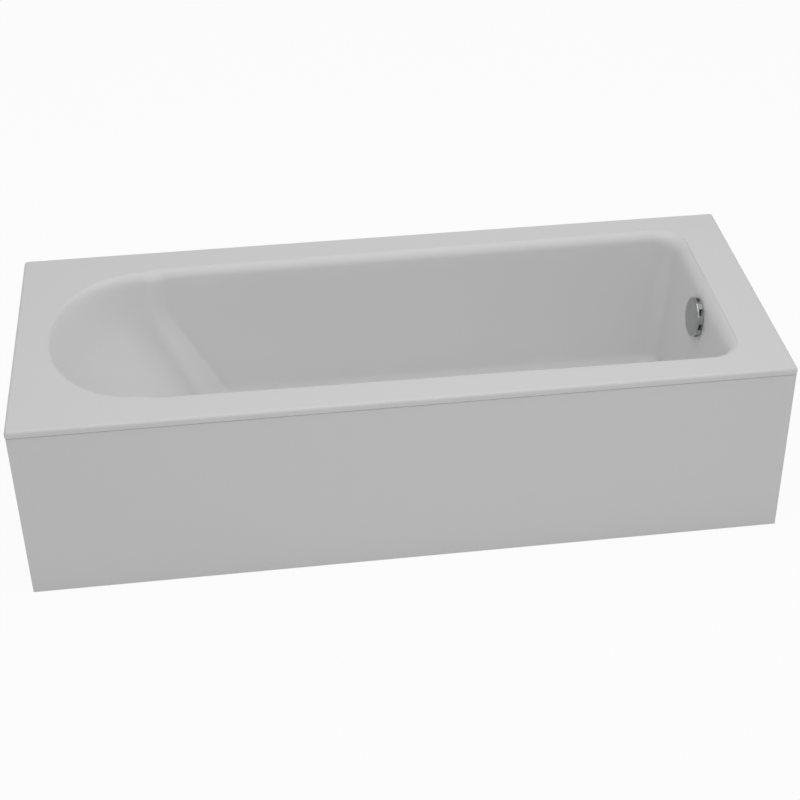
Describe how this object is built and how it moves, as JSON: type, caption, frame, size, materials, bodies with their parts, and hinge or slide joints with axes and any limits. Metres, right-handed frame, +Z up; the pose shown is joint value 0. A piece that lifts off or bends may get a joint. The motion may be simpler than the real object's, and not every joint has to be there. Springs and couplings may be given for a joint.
{
  "type": "panelled acrylic bathtub",
  "caption": "White acrylic bath with a rounded backrest hollow at the head end, flat front panel, level feet, overflow knob and lifting plug waste.",
  "frame": {"origin": "floor level under the middle of the bath, at the centre of its bounding box", "axes": "+X along the bath from the head end to the foot end, +Y from the front panel to the wall, +Z up"},
  "size_m": [1.7, 0.7, 0.442],
  "materials": {
    "acrylic": "gloss",
    "fibreglass": "matt",
    "board": "raw",
    "galvanised": "satin",
    "zinc": "satin",
    "foot_plastic": "matt",
    "spring": "satin",
    "magnet": "matt",
    "chrome": "polished",
    "seal": "matt",
    "pipe": "satin",
    "hose": "satin",
    "cable": "satin"
  },
  "bodies": {
    "bath": {"bath_shell": "acrylic", "fibreglass_backing": "fibreglass", "base_board": "board", "rim_batten_front": "board", "rim_batten_rear": "board", "rim_batten_head": "board", "rim_batten_foot": "board", "cradle_rail_head": "galvanised", "cradle_rail_foot": "galvanised", "wall_bracket_head": "galvanised", "wall_bracket_foot": "galvanised", "cradle_screws": "zinc", "rail_nuts": "zinc", "lock_nuts": "zinc", "wall_bracket_screws": "zinc", "lever_pin": "zinc", "overflow_screws": "zinc", "panel_catch_arms": "foot_plastic", "panel_clips": "spring", "catch_magnets": "magnet", "waste_flange": "chrome", "overflow_flange": "chrome", "waste_upper_seal": "seal", "waste_lower_seal": "seal", "overflow_gasket": "seal", "waste_body": "pipe", "trap_pipe": "pipe", "trap_union_nut": "pipe", "overflow_housing": "pipe", "hose_collar_upper": "pipe", "hose_collar_lower": "pipe", "overflow_hose": "hose", "control_cable": "cable"},
    "knob": {"overflow_knob": "chrome", "knob_spindle": "zinc", "cable_crank": "pipe"},
    "plug": {"plug_cap": "chrome", "plug_stem": "chrome", "plug_seal": "seal"},
    "lever": {"lift_lever": "pipe"},
    "panel": {"front_panel": "acrylic", "strike_plates": "zinc"},
    "foot_1": {"foot_stud_1": "zinc", "foot_pad_1": "foot_plastic"},
    "foot_2": {"foot_stud_2": "zinc", "foot_pad_2": "foot_plastic"},
    "foot_3": {"foot_stud_3": "zinc", "foot_pad_3": "foot_plastic"},
    "foot_4": {"foot_stud_4": "zinc", "foot_pad_4": "foot_plastic"}
  },
  "joints": [
    {"name": "knob_turn", "type": "hinge", "parent": "bath", "child": "knob", "pos_m": [0.72498, 0, 0.364], "axis": [0.996, 0, -0.0896], "range_deg": [0, 110]},
    {"name": "plug_lift", "type": "slide", "parent": "bath", "child": "plug", "axis": [0, 0, 1], "range_m": [0, 0.012]},
    {"name": "lever_lift", "type": "hinge", "parent": "bath", "child": "lever", "pos_m": [0.575, 0.02, 0.028], "axis": [-1, 0, 0], "range_deg": [0, 33]},
    {"name": "panel_swing", "type": "hinge", "parent": "bath", "child": "panel", "pos_m": [0, -0.34, 0.4275], "axis": [-1, 0, 0], "range_deg": [0, 12]},
    {"name": "foot_1_level", "type": "slide", "parent": "bath", "child": "foot_1", "axis": [0, 0, -1], "range_m": [-0.01, 0.025]},
    {"name": "foot_2_level", "type": "slide", "parent": "bath", "child": "foot_2", "axis": [0, 0, -1], "range_m": [-0.01, 0.025]},
    {"name": "foot_3_level", "type": "slide", "parent": "bath", "child": "foot_3", "axis": [0, 0, -1], "range_m": [-0.01, 0.025]},
    {"name": "foot_4_level", "type": "slide", "parent": "bath", "child": "foot_4", "axis": [0, 0, -1], "range_m": [-0.01, 0.025]}
  ],
  "couplings": [
    {"joint": "plug_lift", "follows": "knob_turn", "m_per_rad": 0.0062503},
    {"joint": "lever_lift", "follows": "knob_turn", "ratio": 0.2999}
  ]
}
